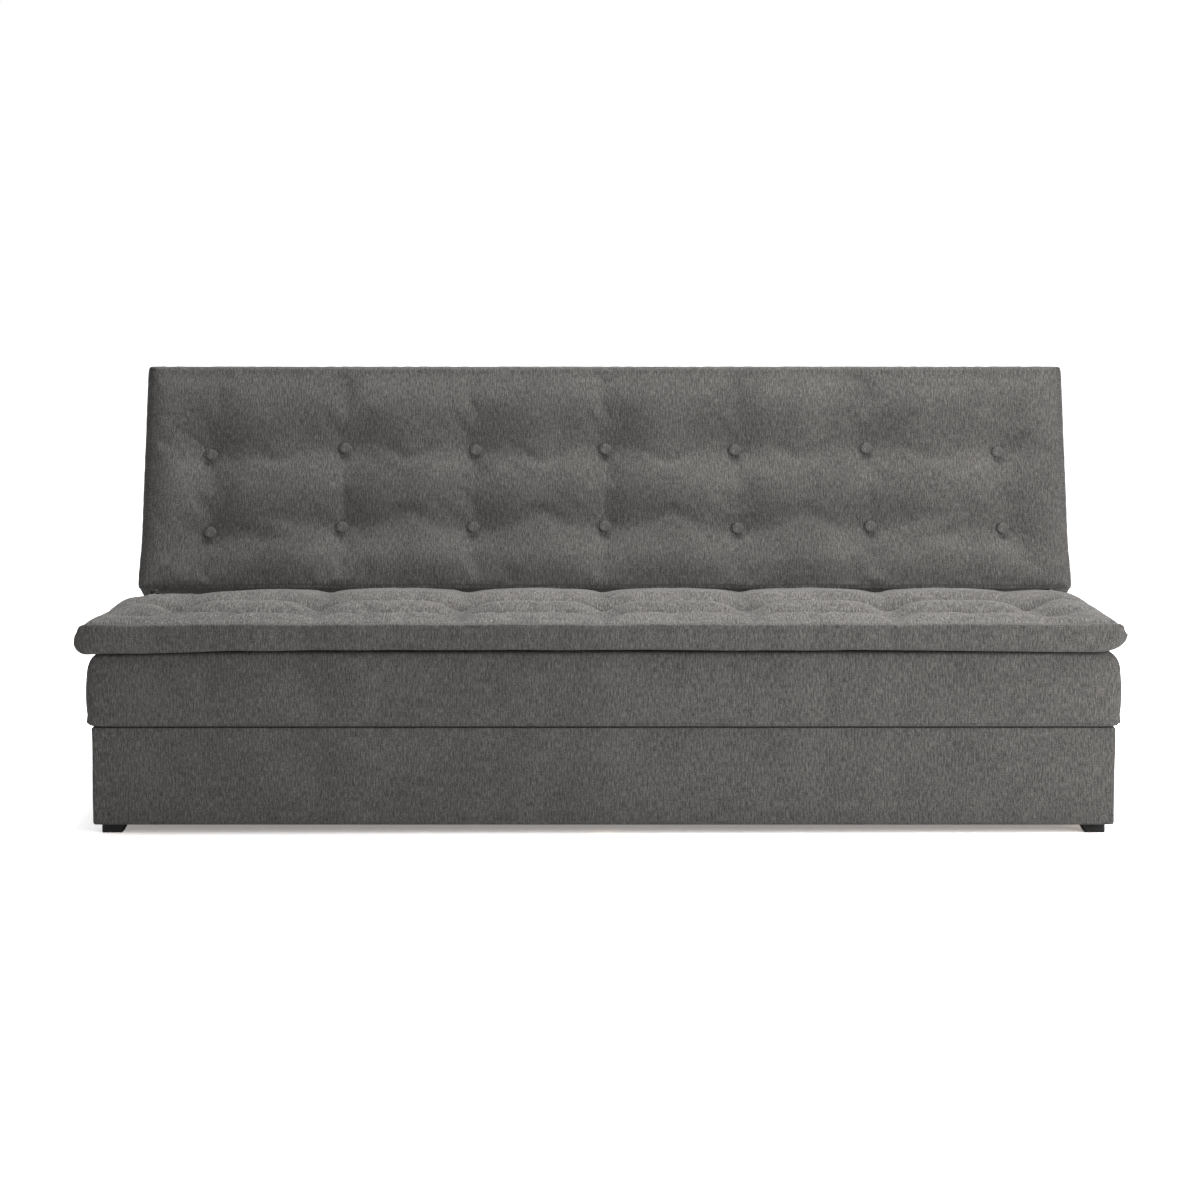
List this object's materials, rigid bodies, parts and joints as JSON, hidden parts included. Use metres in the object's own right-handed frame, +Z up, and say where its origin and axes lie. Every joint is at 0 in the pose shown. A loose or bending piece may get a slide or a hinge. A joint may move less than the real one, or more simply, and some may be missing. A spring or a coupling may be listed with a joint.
{
  "type": "click clack sofa bed",
  "caption": "Three-seat click clack sofa bed with a tufted seat topper, a tufted reclining back, ratchet hinges at the ends and a fabric storage box on low feet.",
  "frame": {"origin": "on the floor, under the centre of the whole sofa's box", "axes": "+X along the sofa to the viewer's right, +Y to the rear, +Z up; the front faces -Y"},
  "size_m": [1.9006, 0.9168, 0.8281],
  "materials": {
    "grey_fabric": "matte",
    "black_fabric": "matte",
    "wood_board": "matte",
    "black_plastic": "satin",
    "zinc_steel": "satin",
    "spring_steel": "satin"
  },
  "bodies": {
    "base": {"base_front_panel": "wood_board", "base_rear_panel": "wood_board", "base_left_panel": "wood_board", "base_right_panel": "wood_board", "base_bottom_board": "wood_board", "bottom_batten_left": "wood_board", "bottom_batten_centre": "wood_board", "bottom_batten_right": "wood_board", "corner_block_front_left": "wood_board", "foot_front_left": "black_plastic", "corner_block_front_right": "wood_board", "foot_front_right": "black_plastic", "corner_block_rear_left": "wood_board", "foot_rear_left": "black_plastic", "corner_block_rear_right": "wood_board", "foot_rear_right": "black_plastic", "base_fabric_cover": "grey_fabric", "hinge_bracket_left": "zinc_steel", "pivot_bolt_left": "zinc_steel", "pivot_nut_left": "zinc_steel", "hinge_bracket_right": "zinc_steel", "pivot_bolt_right": "zinc_steel", "pivot_nut_right": "zinc_steel"},
    "seat": {"seat_dust_cover": "black_fabric", "seat_webbing": "black_fabric", "seat_frame": "wood_board", "seat_lower_cushion": "grey_fabric", "seat_topper": "grey_fabric", "seat_arm_left": "zinc_steel", "hinge_cheek_left": "zinc_steel", "pawl_pin_left": "zinc_steel", "pawl_spring_left": "spring_steel", "seat_arm_right": "zinc_steel", "hinge_cheek_right": "zinc_steel", "pawl_pin_right": "zinc_steel", "pawl_spring_right": "spring_steel"},
    "pawl_left": {"pawl_left": "zinc_steel"},
    "pawl_right": {"pawl_right": "zinc_steel"},
    "backrest": {"back_frame": "wood_board", "back_board": "wood_board", "back_cushion": "grey_fabric", "back_rear_cover": "black_fabric", "back_arm_left": "zinc_steel", "back_arm_right": "zinc_steel", "back_button_lower_1": "grey_fabric", "back_button_lower_2": "grey_fabric", "back_button_lower_3": "grey_fabric", "back_button_lower_4": "grey_fabric", "back_button_lower_5": "grey_fabric", "back_button_lower_6": "grey_fabric", "back_button_lower_7": "grey_fabric", "back_button_upper_1": "grey_fabric", "back_button_upper_2": "grey_fabric", "back_button_upper_3": "grey_fabric", "back_button_upper_4": "grey_fabric", "back_button_upper_5": "grey_fabric", "back_button_upper_6": "grey_fabric", "back_button_upper_7": "grey_fabric"}
  },
  "joints": [
    {"name": "back_recline", "type": "hinge", "parent": "base", "child": "backrest", "pos_m": [0, 0.19165, 0.3669], "axis": [-1, 0, 0], "range_deg": [0, 69]},
    {"name": "seat_lift", "type": "hinge", "parent": "base", "child": "seat", "pos_m": [0, 0.19165, 0.3669], "axis": [-1, 0, 0], "range_deg": [0, 34.5]},
    {"name": "pawl_left_swing", "type": "hinge", "parent": "seat", "child": "pawl_left", "pos_m": [0, 0.17725, 0.33433], "axis": [1, 0, 0], "range_deg": [0, 9.2]},
    {"name": "pawl_right_swing", "type": "hinge", "parent": "seat", "child": "pawl_right", "pos_m": [0, 0.17725, 0.33433], "axis": [1, 0, 0], "range_deg": [0, 9.2]}
  ]
}
